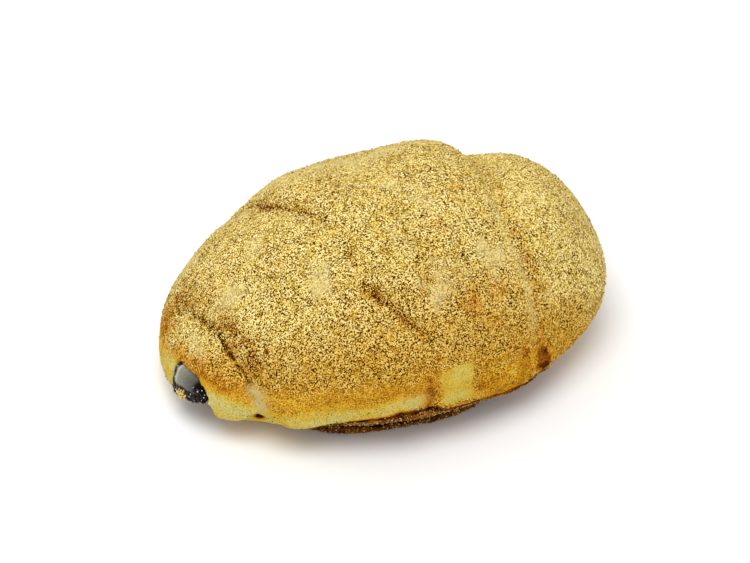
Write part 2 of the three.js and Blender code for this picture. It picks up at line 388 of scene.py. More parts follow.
# Loose grains: how many, smallest and largest size, shape, seed and the colours from dark to light
GRAINS = {
    "powder_crumbs": {
        "count": 2000,
        "sizes": (0.45 * MM, 0.85 * MM),
        "shape": "crumb",
        "seed": 1,
        "colours": [(0.0, (150, 112, 36)), (0.5, (200, 172, 90)), (1.0, (236, 216, 146))],
    },
    "pale_powder": {
        "count": 9000,
        "sizes": (0.3 * MM, 0.62 * MM),
        "shape": "dust",
        "seed": 2,
        "colours": [
            (0.0, (126, 88, 18)),
            (0.3, (190, 162, 80)),
            (0.7, (218, 195, 116)),
            (1.0, (250, 236, 168)),
        ],
    },
    "golden_powder": {
        "count": 8000,
        "sizes": (0.3 * MM, 0.6 * MM),
        "shape": "dust",
        "seed": 3,
        "colours": [
            (0.0, (112, 66, 6)),
            (0.4, (174, 126, 36)),
            (0.7, (196, 152, 60)),
            (1.0, (220, 182, 94)),
        ],
    },
    "fine_powder": {
        "count": 8000,
        "sizes": (0.2 * MM, 0.4 * MM),
        "shape": "dust",
        "seed": 4,
        "colours": [(0.0, (126, 86, 18)), (0.5, (190, 156, 74)), (1.0, (230, 206, 130))],
    },
    "lip_crumbs": {
        "count": 6000,
        "sizes": (0.3 * MM, 0.7 * MM),
        "shape": "dust",
        "seed": 6,
        "colours": [(0.0, (60, 22, 6)), (0.5, (138, 96, 44)), (1.0, (232, 202, 132))],
    },
    "powder_clump": {
        "count": 200,
        "sizes": (0.4 * MM, 0.85 * MM),
        "shape": "crumb",
        "seed": 5,
        "colours": [(0.0, (156, 116, 50)), (0.5, (210, 178, 98)), (1.0, (240, 216, 146))],
    },
}
GRAIN_SIZE_SPREAD = (1.6, 2.4)
GRAIN_STRETCH = (0.7, 1.25)
GRAIN_LIFT = (-0.2, 0.25)
GRAIN_UNEVENNESS = 0.1
GRAIN_SHAPE_SEED = 3

# Floor, light and camera: places and sizes in metres, powers in watts, angles in degrees, lens in mm
FLOOR_SIZE = 6.0
FLOOR_COLOUR = (0.92, 0.92, 0.92, 1.0)
FLOOR_GLOSS = 0.2
SKY_COLOUR = (1.0, 1.0, 1.0, 1.0)
SKY_STRENGTH = 0.74
OVERHEAD_SOFTBOX = {"place": (-0.14, -0.18, 0.73), "aim": (0, 0, 0.02), "size": 0.5, "power": 3.2}
FAR_SOFTBOX = {"place": (-0.24, 0.42, 0.42), "aim": (0, 0, 0.03), "size": 0.6, "power": 0.55}
CAMERA_AZIMUTH = -22.95
CAMERA_ELEVATION = 40.0
CAMERA_DISTANCE = 0.6
CAMERA_LENS = 106.7
CAMERA_AIM = (-0.00186, 0.00203, 0.02175)
CAMERA_CLIP_START = 0.01


# Curves

def smoothstep(value, low, high):
    part = np.clip((value - low) / (high - low), 0.0, 1.0)
    return part * part * (3.0 - 2.0 * part)


def between(value, low, high, soft):
    return smoothstep(value, low - soft, low + soft) * (1 - smoothstep(value, high - soft, high + soft))


def lerp(first, second, part):
    return first + (second - first) * part


def bell(offset, reach):
    return np.exp(-((offset / reach) ** 2))


def turn_difference(turn, centre):
    return (turn - centre + 180.0) % 360.0 - 180.0


def swell(turn, centre, reach):
    return bell(turn_difference(turn, centre), reach)


def wavy(base, waves, turn):
    """A value that swells at some turn angles round the roll."""
    for centre, reach, size in waves:
        base = base + size * swell(turn, centre, reach)
    return base


def crease_x(crease, turn):
    """x of a crease in mm at each turn angle."""
    angle = np.radians(turn)
    slanting = crease["x"] + crease["slant"] * np.cos(angle) + crease["twist"] * np.sin(angle)
    return wavy(slanting, crease["waves"], turn)


# Places on the roll

def roll_stations(x):
    """Half width, rise, drop and centre of the smooth roll at each x, and how full it still is there."""
    open_side = x < WIDEST_X

    def of_end(key):
        return np.where(open_side, OPEN_END[key], CLOSED_END[key])

    end_x = np.where(open_side, -ROLL_LENGTH / 2, ROLL_LENGTH / 2)
    drawn = np.clip((x - WIDEST_X) / (end_x - WIDEST_X), 0.0, DRAWN_LIMIT)
    left = 1.0 - drawn ** of_end("power")
    return {
        "half_width": HALF_WIDTH * left ** of_end("plan"),
        "rise": (ROLL_HEIGHT - SHOULDER_HEIGHT) * left ** of_end("top"),
        "drop": SHOULDER_HEIGHT * left ** of_end("belly"),
        "centre_y": CRESCENT_BEND * (1.0 - (2.0 * x / ROLL_LENGTH) ** 2),
        "centre_z": lerp(SHOULDER_HEIGHT, of_end("height"), drawn ** END_RISE_POWER) - BASE_CUT,
        "fullness": left,
    }


def roll_places(points):
    """x, y, height, turn angle and depth under the smooth skin in mm, for points in metres."""
    x, y, z = (points / MM - np.array(ROLL_MIDDLE)).T
    station = roll_stations(x)
    up = z - station["centre_z"]
    half_height = np.where(up > 0, station["rise"], station["drop"])
    squareness = np.where(up > 0, TOP_SQUARENESS, BELLY_SQUARENESS)
    across = (y - station["centre_y"]) / station["half_width"]
    above = up / half_height
    side = np.sign(across) * np.abs(across) ** (squareness / 2)
    rise = np.sign(above) * np.abs(above) ** (squareness / 2)
    turn = np.degrees(np.arctan2(rise, side)) % 360.0
    reached = np.hypot(side, rise) ** (2.0 / squareness)
    under = (1.0 - reached) * np.minimum(station["half_width"], half_height)
    return {"x": x, "y": y, "z": z, "turn": turn, "under": under, "fullness": station["fullness"]}


def near_flank(places):
    return np.abs(turn_difference(places["turn"], NEAR_TURN)) < NEAR_REACH


def far_side(places):
    """From 0 on the near side of the roll to 1 on the far side."""
    return smoothstep(places["y"], *FAR_SIDE_Y)


def cloud(points, size, seed):
    """Soft noise from about -1 to 1 with lumps of the given size in metres."""
    shift = Vector((seed * 3.7, seed * 1.9, seed * 5.3))
    return np.array([noise.noise(Vector(point) + shift) for point in points / size])


# Making and shading pieces

def select_only(piece):
    bpy.ops.object.select_all(action="DESELECT")
    piece.hide_set(False)
    piece.select_set(True)
    bpy.context.view_layer.objects.active = piece


def apply_modifier(piece, kind, **settings):
    modifier = piece.modifiers.new(kind.lower(), kind)
    for key, value in settings.items():
        setattr(modifier, key, value)
    select_only(piece)
    bpy.ops.object.modifier_apply(modifier=modifier.name)


def copy_of_node(node, name):
    """A merged copy of a solid's mesh as a new piece."""
    piece = bpy.data.objects.new(name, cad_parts[node].data.copy())
    bpy.context.scene.collection.objects.link(piece)
    piece.data.materials.clear()
    select_only(piece)
    bpy.ops.mesh.customdata_custom_splitnormals_clear()
    bpy.ops.object.mode_set(mode="EDIT")
    bpy.ops.mesh.select_all(action="SELECT")
    bpy.ops.mesh.remove_doubles(threshold=MERGE_DISTANCE)
    bpy.ops.mesh.tris_convert_to_quads()
    bpy.ops.object.mode_set(mode="OBJECT")
    return piece


def refine(piece, voxel, smoothing):
    """Rounds off a copied solid and gives it an even, fine mesh."""
    apply_modifier(piece, "SUBSURF", levels=1, render_levels=1)
    apply_modifier(piece, "REMESH", mode="VOXEL", voxel_size=voxel)
    apply_modifier(piece, "SMOOTH", factor=0.5, iterations=smoothing)


def vertex_points(piece):
    points = np.zeros(len(piece.data.vertices) * 3)
    piece.data.vertices.foreach_get("co", points)
    return points.reshape(-1, 3)


def vertex_normals(piece):
    normals = np.zeros(len(piece.data.vertices) * 3)
    piece.data.vertices.foreach_get("normal", normals)
    return normals.reshape(-1, 3)


def raise_surface(piece, heights):
    """Moves each vertex along its normal by a height in metres."""
    points = vertex_points(piece) + vertex_normals(piece) * heights[:, None]
    piece.data.vertices.foreach_set("co", points.ravel())
    piece.data.update()


def store_field(piece, name, values):
    attribute = piece.data.attributes.new(name, "FLOAT", "POINT")
    attribute.data.foreach_set("value", np.asarray(values, dtype=np.float32))


def paint(red, green, blue):
    """Linear colour from the 0 to 255 values seen on a screen."""
    def linear(value):
        share = value / 255.0
        return share / 12.92 if share <= 0.04045 else ((share + 0.055) / 1.055) ** 2.4

    return (linear(red), linear(green), linear(blue), 1.0)


class Finish:
    """A procedural material under construction."""

    def __init__(self, name):
        self.material = bpy.data.materials.new(name)
        self.material.use_nodes = True
        self.tree = self.material.node_tree
        self.shader = self.tree.nodes["Principled BSDF"]
        self.place = self.add("ShaderNodeTexCoord").outputs["Object"]

    def add(self, kind, **settings):
        node = self.tree.nodes.new(kind)
        for key, value in settings.items():
            setattr(node, key, value)
        return node

    def put(self, socket, value):
        """Joins a node's output to a socket, or sets the socket to a plain value."""
        if isinstance(value, bpy.types.NodeSocket):
            self.tree.links.new(value, socket)
        else:
            socket.default_value = value

    def feed(self, node, **values):
        for key, value in values.items():
            self.put(node.inputs[key], value)
        return node

    def surface(self, colour, roughness, specular, normal=None):
        self.put(self.shader.inputs["Base Color"], colour)
        self.put(self.shader.inputs["Roughness"], roughness)
        self.put(self.shader.inputs["Specular IOR Level"], specular)
        if normal is not None:
            self.put(self.shader.inputs["Normal"], normal)
        return self.material

    def field(self, name):
        return self.add("ShaderNodeAttribute", attribute_name=name).outputs["Fac"]

    def clouds(self, size, detail, roughness=0.5):
        node = self.add("ShaderNodeTexNoise")
        self.feed(node, Vector=self.place, Scale=1.0 / size, Detail=detail, Roughness=roughness)
        return node.outputs["Fac"]

    def ramp(self, source, stops):
        node = self.add("ShaderNodeValToRGB")
        elements = node.color_ramp.elements
        while len(elements) < len(stops):
            elements.new(0.5)
        for element, (position, colour) in zip(elements, stops):
            element.position = position
            element.color = colour
        self.put(node.inputs["Fac"], source)
        return node.outputs["Color"]

    def cells(self, size, wobble):
        """Packed grains: a random value for each grain, and the distance from its middle."""
        shift = self.feed(self.add("ShaderNodeTexNoise"), Vector=self.place, Scale=1.0 / size)
        moved = self.add("ShaderNodeVectorMath", operation="MULTIPLY_ADD")
        self.put(moved.inputs[0], shift.outputs["Color"])
        self.put(moved.inputs[1], (wobble, wobble, wobble))
        self.put(moved.inputs[2], self.place)
        grains = self.add("ShaderNodeTexVoronoi")
        self.feed(grains, Vector=moved.outputs["Vector"], Scale=1.0 / size)
        split = self.feed(self.add("ShaderNodeSeparateColor"), Color=grains.outputs["Color"])
        return split.outputs["Red"], grains.outputs["Distance"]

    def span(self, source, low, high, new_low=0.0, new_high=1.0, way="SMOOTHSTEP"):
        node = self.add("ShaderNodeMapRange", interpolation_type=way)
        limits = {"From Min": low, "From Max": high, "To Min": new_low, "To Max": new_high}
        self.feed(node, Value=source, **limits)
        return node.outputs["Result"]

    def math(self, operation, first, second):
        node = self.add("ShaderNodeMath", operation=operation)
        self.put(node.inputs[0], first)
        self.put(node.inputs[1], second)
        return node.outputs["Value"]

    def mix(self, share, first, second, blend="MIX"):
        """Mixes two colours, whose sockets are 6 and 7 on this node, with their result at 2."""
        node = self.add("ShaderNodeMix", data_type="RGBA", blend_type=blend)
        self.put(node.inputs[0], share)
        self.put(node.inputs[6], first)
        self.put(node.inputs[7], second)
        return node.outputs[2]

    def bump(self, height, strength, distance):
        node = self.add("ShaderNodeBump")
        self.feed(node, Height=height, Strength=strength, Distance=distance)
        return node.outputs["Normal"]


# Features of the crust, each with its strength from 0 to 1 at every vertex

def marks_field(places, marks):
    field = np.zeros(len(places["x"]))
    for x, turn, reach_x, reach_turn, strength in marks:
        mark = bell(places["x"] - x, reach_x) * swell(places["turn"], turn, reach_turn)
        field = np.maximum(field, strength * mark)
    return field


def patch_mark(places, x_limits, z_limits, ragged, soft):
    """A soft, ragged patch on the near side between two x places and two heights."""
    along = between(places["x"] + ragged, *x_limits, soft)
    return near_flank(places) * along * between(places["z"] + ragged, *z_limits, soft)


def dark_patch(places, ragged):
    """The slanting dark patch on the near side by the closed end."""
    above = places["z"] - DARK_PATCH_Z
    along = (places["x"] - DARK_PATCH_X + DARK_PATCH_SLANT * above) / DARK_PATCH_REACH_X
    from_middle = np.hypot(along, above / DARK_PATCH_REACH_Z)
    return near_flank(places) * smoothstep(1.0 - from_middle + ragged, -0.3, 0.5)


def crease_fields(places, broken):
    """The painted shade line in each crease, and the flecked brown flank of the wrap that lies over it,
    which also carries painted shade below the wrap's edge.
    """
    x, turn = places["x"], places["turn"]
    near_fade = 1 - smoothstep(turn, *CREASE_FADE_NEAR)
    fade = np.where(turn > UNDERSIDE_TURN, smoothstep(turn, *CREASE_FADE_FAR), near_fade)
    line = np.zeros(len(x))
    shaded_flank = np.zeros(len(x))
    for crease in CREASES.values():
        ahead = (x - crease_x(crease, turn)) * crease["over"]
        thin = bell(ahead + 0.3 * broken, CREASE_LINE_REACH) * smoothstep(broken, -0.8, 0.0)
        from_flank = ahead - crease["flank_middle"] + 0.8 * broken
        wide = bell(from_flank, crease["flank_reach"]) * smoothstep(broken, -0.7, 0.4)
        line = np.maximum(line, fade * wavy(crease["line"], crease["line_waves"], turn) * thin)
        shaded_flank = np.maximum(shaded_flank, fade * wavy(crease["shaded_flank"], crease["flank_waves"], turn) * wide)
    return line, shaded_flank


def ridge_highlight_field(places):
    """The painted highlight on the ridge along the right edge of the outermost wrap."""
    inside_edge = crease_x(CREASES["outer_right"], places["turn"]) - places["x"]
    ridge_highlight = bell(inside_edge - RIDGE_INSET, RIDGE_REACH)
    return ridge_highlight * between(places["turn"], *RIDGE_TURNS, RIDGE_SOFT)


def painted_rim_sheen(places):
    """Painted sheen along the far shoulder and round the closed end, laid on in the colour of smooth pale
    dust.
    """
    x, turn = places["x"], places["turn"]
    shoulder = lerp(*SHOULDER_SHEEN_TURNS, smoothstep(x, *SHOULDER_SHEEN_TURN_X))
    along = smoothstep(x, *SHOULDER_SHEEN_START_X) * (1 - smoothstep(x, *SHOULDER_SHEEN_END_X))
    far_band = swell(turn, shoulder, SHOULDER_SHEEN_REACH) * along
    end_band = bell(x - END_SHEEN_X, END_SHEEN_REACH) * between(turn, *END_SHEEN_TURNS, END_SHEEN_SOFT)
    return np.maximum(far_band, end_band)


def floury_crease(places, ragged):
    """The flour that lies in the foot of the crease behind the open tip."""
    past_crease = places["x"] - crease_x(CREASES["tip"], places["turn"])
    floury = bell(past_crease - FLOURY_INSET + 0.5 * ragged, FLOURY_REACH)
    return floury * between(places["turn"], *FLOURY_TURNS, FLOURY_SOFT)


def skirt_fields(places, ragged):
    """The browned skirt of the bottom crust, with painted shade under the belly, and the painted shade of
    the fold along its upper edge.
    """
    taper = between(places["x"], SKIRT_START_X, SKIRT_END_X, SKIRT_TAPER)
    top = SKIRT_TOP * taper + SKIRT_CREST * bell(places["x"] - SKIRT_CREST_X, SKIRT_CREST_REACH)
    below = top - places["z"] + ragged
    near = between(places["turn"], *SKIRT_TURNS, SKIRT_SOFT) * smoothstep(taper, 0.0, 0.2)
    return near * smoothstep(below, -0.5, 0.5), near * taper * bell(below - FOLD_DEPTH, FOLD_REACH)


def end_spiral(places):
    """Groove of the rolled-up dough round the closed end, drawn as a line of painted shade."""
    height = places["z"] - SPIRAL_POLE_Z
    radius = np.hypot(places["y"], height)
    angle = np.arctan2(height, places["y"])
    wound = (radius / SPIRAL_PITCH - angle / (2 * np.pi)) % 1.0
    from_groove = SPIRAL_PITCH * np.minimum(wound, 1 - wound)
    reach = smoothstep(radius, *SPIRAL_EYE) * (1 - smoothstep(radius, SPIRAL_FADE_RADIUS, SPIRAL_RADIUS))
    return bell(from_groove, SPIRAL_GROOVE) * reach * (places["x"] > SPIRAL_START_X)


def mouth_field(places):
    """The cut walls of the open end, where the dough shows without any crust."""
    ahead = (places["x"] < MOUTH_X) & (places["z"] < MOUTH_TOP_Z)
    return ahead * between(places["y"], *MOUTH_Y, MOUTH_SOFT) * smoothstep(places["under"], *MOUTH_SKIN)


def lip_fields(places):
    """The browned base lip, and the painted shade of the crevice between it and the belly."""
    along = between(places["x"], LIP_START_X, LIP_END_X, LIP_END_SOFT)
    low = along * (1 - smoothstep(places["z"], *LIP_TOP_Z))
    low = low * between(places["turn"], *LIP_TURNS, LIP_TURN_SOFT)
    outside = -places["under"]
    return low * smoothstep(outside, *LIP_EDGE), low * (1 - smoothstep(outside, *CREVICE_EDGE))


def right_of_strip(places, clouds):
    """The bare crust beyond the end of the pale strip, which is vague low down and on the far side."""
    far = far_side(places)
    vague = np.maximum(far, 0.4 - 0.4 * smoothstep(places["z"], *STRIP_VAGUE_Z))
    strip_end = lerp(STRIP_END_NEAR, STRIP_END_FAR, far)
    past_end = places["x"] - strip_end + 2 * clouds["medium"] + 10 * clouds["wide"] * vague
    past_end = past_end / lerp(STRIP_EDGE_CLEAR, STRIP_EDGE_VAGUE, vague)
    return smoothstep(past_end, -1.0, 1.0) * smoothstep(places["z"], *STRIP_FOOT_Z)


def crust_features(places, clouds):
    """All creases, marks and patches by name."""
    medium, small = clouds["medium"], clouds["small"]
    line, shaded_flank = crease_fields(places, small + 0.5 * medium)
    lip, crevice_shade = lip_fields(places)
    browned_shaded_skirt, fold_shade = skirt_fields(places, 0.8 * medium + 0.5 * small)
    inside = mouth_field(places)
    floury = floury_crease(places, small) * np.clip(0.75 + 0.5 * small + 0.4 * medium, 0, 1)
    flour_and_highlight = np.maximum(marks_field(places, FLOUR_AND_HIGHLIGHT_MARKS), floury)
    ragged = 1.5 * medium + 0.8 * small
    return {
        # the spiral groove at the closed end is drawn as a line of painted shade
        "line": np.maximum(line, 0.6 * end_spiral(places)),
        "shaded_flank": shaded_flank,
        "ridge_highlight": ridge_highlight_field(places),
        "lip": lip,
        "crevice_shade": crevice_shade,
        "browned_shaded_skirt": browned_shaded_skirt,
        "fold_shade": fold_shade,
        "inside": inside,
        "flour_and_highlight": np.maximum(flour_and_highlight, 0.5 * inside),
        "pit_shade": smoothstep(marks_field(places, PITS), 0.15, 0.85),
        "rust": np.clip(marks_field(places, BROWN_MARKS) * (1 + 0.5 * small), 0, 1),
        "pale_patch": patch_mark(places, PALE_PATCH_X, PALE_PATCH_Z, 0.8 * ragged, 1.0),
        "brown_side": patch_mark(places, BROWN_SIDE_X, BROWN_SIDE_Z, 2 * ragged, 2.0),
        "dark_side": dark_patch(places, 0.7 * small + 0.6 * medium),
        "right_side": right_of_strip(places, clouds),
    }


# Powder and browning of the crust

def crust_clouds(points):
    """Soft noise over the crust, from wide clouds to fine grit."""
    return {
        "wide": cloud(points, WIDE_CLOUD, 1),
        "medium": cloud(points, MEDIUM_CLOUD, 2),
        "small": cloud(points, SMALL_CLOUD, 3),
        "grit": cloud(points, GRIT_SIZE, 4),
        "streaks": cloud(points * np.array(STREAK_STRETCH), STREAK_SIZE, 8),
    }


def powder_edge(places):
    """Height in mm down to which the powder covers the crust."""
    far_drop = POWDER_EDGE_FAR_DROP * smoothstep(places["y"], *FAR_DROP_Y)
    end_edge = np.where(places["x"] < WIDEST_X, POWDER_EDGE_OPEN_END - far_drop, POWDER_EDGE_CLOSED_END)
    return lerp(end_edge, POWDER_EDGE_MIDDLE - FAR_DROP_MIDDLE * far_drop, places["fullness"])


def powder_layers(places, clouds):
    """Height over the powder's edge in mm, and the golden and the thick layer."""
    x, medium = places["x"], clouds["medium"]
    near = 1 - far_side(places)
    over_edge = places["z"] - powder_edge(places) - 2.0 * clouds["wide"] - 1.5 * medium
    depth = lerp(GOLDEN_DEPTH_END, GOLDEN_DEPTH_MIDDLE, places["fullness"])
    depth = depth + GOLDEN_DIP * bell(x - GOLDEN_DIP_X, GOLDEN_DIP_REACH) * near
    depth = depth - GOLDEN_SLOPE * np.clip(x - GOLDEN_SLOPE_X, *GOLDEN_SLOPE_SPAN) * near
    far_rim = (1 - smoothstep(x, *FAR_RIM_X)) * smoothstep(places["y"], *FAR_RIM_Y)
    golden = smoothstep(over_edge + depth * (1 - far_rim), -2.0, 2.5)
    reach = lerp(THICK_REACH_END, THICK_REACH_MIDDLE, places["fullness"])
    thick = smoothstep((over_edge + 3.0 * medium) / reach, 0.0, 1.0)
    thick = np.maximum(thick, END_THICKNESS * smoothstep(x, *END_THICK_X))
    return {"over_edge": over_edge, "golden": golden, "thick": thick}


def powder_cover(places, features, over_edge):
    """How well the powder covers the crust."""
    fade = lerp(POWDER_FADE_END, POWDER_FADE_MIDDLE, places["fullness"])
    cover = smoothstep(over_edge / fade, -1.0, 0.5)
    cover = np.maximum(cover, 0.15 + 0.27 * features["right_side"])
    for feature, share in BARE_SHARES.items():
        cover = cover * (1 - share * features[feature])
    return cover


def dough_tone(places, features):
    """How browned the dough is below the golden crust, on either side of the strip's end."""
    right_dough = BROWNING["right_dough"] + 0.12 * bell(places["x"] - DARK_PATCH_X, RIGHT_DOUGH_REACH)
    right_dough = right_dough - 0.15 * smoothstep(places["x"], *END_DOUGH_X)
    return lerp(BROWNING["pale_dough"], right_dough, features["right_side"])


def crust_tone(places, clouds, features, layers):
    """How browned the crust is, from 0 for pale dough to 1 for the darkest crust."""
    x, y, z = places["x"], places["y"], places["z"]
    medium, small, golden = clouds["medium"], clouds["small"], layers["golden"]
    baked = 1 - smoothstep(z, *BAKED_FOOT_Z)
    open_rim = (1 - smoothstep(x, *OPEN_RIM_X)) * between(layers["over_edge"], *OPEN_RIM_HEIGHTS, 1.5)
    open_rim = open_rim * (1 - 0.9 * smoothstep(y, *OPEN_RIM_Y))
    front_foot = bell(x - FRONT_FOOT_X, FRONT_FOOT_REACH) * (1 - smoothstep(z, *FRONT_FOOT_Z))
    front_foot = front_foot * (1 - far_side(places))
    tone = lerp(dough_tone(places, features), BROWNING["golden"] - 0.1 * front_foot, golden)
    tone = tone + 0.14 * open_rim + 0.45 * baked
    tone = tone + 0.07 * medium + 0.05 * clouds["wide"] + 0.16 * clouds["streaks"] * (1 - golden)
    tone = np.maximum(tone, BROWNING["rust"] * features["rust"])
    tone = np.maximum(tone, (BROWNING["brown_side"] + 0.12 * medium) * features["brown_side"])
    tone = lerp(tone, BROWNING["pale_spots"], marks_field(places, PALE_SPOTS))
    dark_side = BROWNING["dark_side"] + 0.14 * small + 0.1 * medium
    tone = np.maximum(tone, dark_side * features["dark_side"])
    tone = lerp(tone, BROWNING["pale_patch"] + 0.06 * medium, features["pale_patch"])
    # painted shade: darker skirt under the belly, and darker still in the fold
    browned_shaded_skirt = BROWNING["browned_shaded_skirt"] + 0.14 * medium + 0.16 * small
    tone = np.maximum(tone, browned_shaded_skirt * features["browned_shaded_skirt"] + 0.16 * features["fold_shade"])
    tone = lerp(tone, BROWNING["inside"], features["inside"])
    tone = lerp(tone, BROWNING["lip"] + 0.12 * small, features["lip"])
    # painted shade: the crevice and the pits take the darkest tone
    return np.maximum(tone, np.maximum(features["crevice_shade"], features["pit_shade"]))


def smear_and_sheen_cover(places, clouds, features):
    """Where the powder lies smooth and pale, with the painted sheen along the rim and the painted highlight
    on the right ridge.
    """
    wide, medium, small = clouds["wide"], clouds["medium"], clouds["small"]
    smear_and_sheen = marks_field(places, SMOOTH_SMEARS) * (1 + 0.6 * small + 0.6 * medium)
    cloudy = lerp(DUST_CLOUD_LEFT, DUST_CLOUD_RIGHT, smoothstep(places["x"], *DUST_CLOUD_X))
    smear_and_sheen = smear_and_sheen + cloudy * smoothstep(wide + 0.6 * medium + 0.3 * small, 0.3, 0.75)
    # painted sheen along the rim and painted highlight on the right ridge, laid in with the smooth smears
    rim_sheen = painted_rim_sheen(places) * np.clip(0.65 + 0.6 * medium + 0.6 * small, 0, 1)
    smear_and_sheen = np.maximum(np.maximum(smear_and_sheen, 0.6 * features["ridge_highlight"]), rim_sheen)
    return np.clip(smear_and_sheen, 0, 1) * (1 - features["line"]) * (1 - features["rust"]) * (1 - features["shaded_flank"])


def grain_cover(features, powder, golden):
    """How grainy the surface is."""
    grainy = np.maximum(powder, 0.7 * golden * (1 - features["pale_patch"]))
    grainy = np.maximum(grainy, np.maximum(features["lip"], features["browned_shaded_skirt"]))
    grainy = np.maximum(grainy, 0.9 * features["right_side"])
    return np.maximum(grainy, 0.35) * (1 - features["inside"]) * (1 - 0.65 * features["pale_patch"])


def darkness(clouds, features, smear_and_sheen, coarse):
    """Painted shade that darkens the grains in creases and pits, random tone from wide clouds, and painted
    light that lightens them where the smooth dust and sheen lie and at the coarse right end.
    """
    grain_shade_and_tone = 0.55 * features["shaded_flank"] + 0.9 * features["line"] + 1.4 * features["pit_shade"]
    grain_shade_and_tone = grain_shade_and_tone + 0.1 * clouds["wide"] - 0.1 * smear_and_sheen
    return np.clip(grain_shade_and_tone - (0.09 + 0.16 * clouds["small"]) * coarse, -0.3, 1.2)


def flush_field(places, clouds, features, over_edge):
    """The reddish flush of the creases' flanks, the brown marks and the rim of the open end."""
    rim = (1 - smoothstep(places["x"], *RIM_FLUSH_X)) * bell(over_edge, RIM_FLUSH_REACH)
    rim = rim * smoothstep(clouds["small"], -0.6, 0.2)
    flush = np.maximum(features["shaded_flank"], 0.6 * features["rust"])
    return np.clip(np.maximum(flush, 0.85 * rim), 0, 1)


def crust_fields(piece):
    """Everything that colours and shapes the crust, for each vertex."""
    points = vertex_points(piece)
    places = roll_places(points)
    clouds = crust_clouds(points)
    features = crust_features(places, clouds)
    layers = powder_layers(places, clouds)
    powder = powder_cover(places, features, layers["over_edge"])
    smear_and_sheen = smear_and_sheen_cover(places, clouds, features)
    coarse = smoothstep(places["x"], *COARSE_X)
    browned_lip = features["lip"] * (1 - features["crevice_shade"])
    return {
        "points": points,
        "tone": np.clip(crust_tone(places, clouds, features, layers), 0, 1),
        "powder": np.clip(powder, 0, 1),
        "thick": layers["thick"] * (1 - 0.8 * features["rust"]) * (1 - 0.6 * features["shaded_flank"]),
        "smear_and_sheen": smear_and_sheen,
        "flour_and_highlight": features["flour_and_highlight"],
        "grainy": np.clip(grain_cover(features, powder, layers["golden"]), 0, 1),
        "grain_shade_and_tone": darkness(clouds, features, smear_and_sheen, coarse),
        "coarse": coarse,
        "flush": flush_field(places, clouds, features, layers["over_edge"]),
        "groove": np.maximum(CREASE_DEPTH * features["line"], PIT_DEPTH * features["pit_shade"]),
        "lip": np.maximum(browned_lip, 0.5 * features["browned_shaded_skirt"] * (1 - features["fold_shade"])),
        "medium": clouds["medium"],
        "small": clouds["small"],
        "grit": clouds["grit"],
    }


# Bread

def make_bread():
    piece = copy_of_node("bread", "dusted_bread")
    refine(piece, CRUST_VOXEL, CRUST_SMOOTHING)
    fields = crust_fields(piece)
    rough = fields["grainy"] * (1 - 0.8 * fields["smear_and_sheen"])
    grains = BUMP_HEIGHT * fields["small"] + GRIT_HEIGHT * fields["grit"]
    heights = SWELL_HEIGHT * fields["medium"] + grains * rough
    raise_surface(piece, (heights - fields["groove"]) * MM)
    for name in ("tone", "powder", "thick", "smear_and_sheen", "flour_and_highlight", "grainy", "grain_shade_and_tone", "flush", "coarse"):
        store_field(piece, name, fields[name])
    select_only(piece)
    bpy.ops.object.shade_smooth()
    piece.data.materials.append(crust_finish())
    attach(piece, "root")
    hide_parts("bread")
    return piece, fields


def grain_brightness(finish, chance):
    """How bright each grain and pore of the powder is, from 0 to 1: the dark pores are brown crust with
    painted shade between the grains, darkened further with painted shade in creases and pits.
    """
    patches = finish.span(finish.clouds(PATCH_SIZE, 3.0, 0.6), 0.3, 0.7, -0.16, 0.16)
    noises = finish.clouds(PORE_SIZE, 1.0), finish.clouds(COARSE_PORE_SIZE, 1.0)
    pores = finish.span(finish.mix(finish.field("coarse"), *noises), 0.2, 0.8, -1.7, 1.1, "LINEAR")
    own = finish.math("ADD", finish.math("MULTIPLY", chance, 0.6), pores)
    contrast = finish.span(finish.clouds(CONTRAST_SIZE, 2.0), 0.35, 0.65, 0.7, 1.55)
    own = finish.math("ADD", finish.math("MULTIPLY", own, contrast), 0.5)
    bright = finish.math("SUBTRACT", finish.math("ADD", own, patches), finish.field("grain_shade_and_tone"))
    return finish.span(bright, -0.5, 1.0, 0.0, 1.0, "LINEAR")


def bare_crust_colour(finish, bright):
    """Dough to dark crust by tone, speckled where it is grainy. The darkest tones also hold the painted
    shade of the crevice, the fold and the pits, and the dark specks are crust with painted shade between
    the grains.
    """
    mottle = finish.span(finish.clouds(MOTTLE_SIZE, 3.0), 0.3, 0.7, -0.07, 0.07)
    crust = finish.ramp(finish.math("ADD", finish.field("tone"), mottle), [
        (0.0, paint(198, 188, 107)),
        (0.15, paint(203, 174, 69)),
        (0.35, paint(203, 154, 40)),
        (0.55, paint(184, 126, 26)),
        (0.75, paint(146, 84, 18)),
        (0.9, paint(78, 34, 8)),
        (1.0, paint(34, 8, 2)),
    ])
    speckle = finish.ramp(bright, [
        (0.3, (0.3, 0.2, 0.06, 1.0)),
        (0.42, (0.64, 0.54, 0.36, 1.0)),
        (0.65, (1.0, 1.0, 1.0, 1.0)),
        (1.0, (1.35, 1.5, 1.9, 1.0)),
    ])
    return finish.mix(finish.field("grainy"), crust, finish.mix(1.0, crust, speckle, "MULTIPLY"))


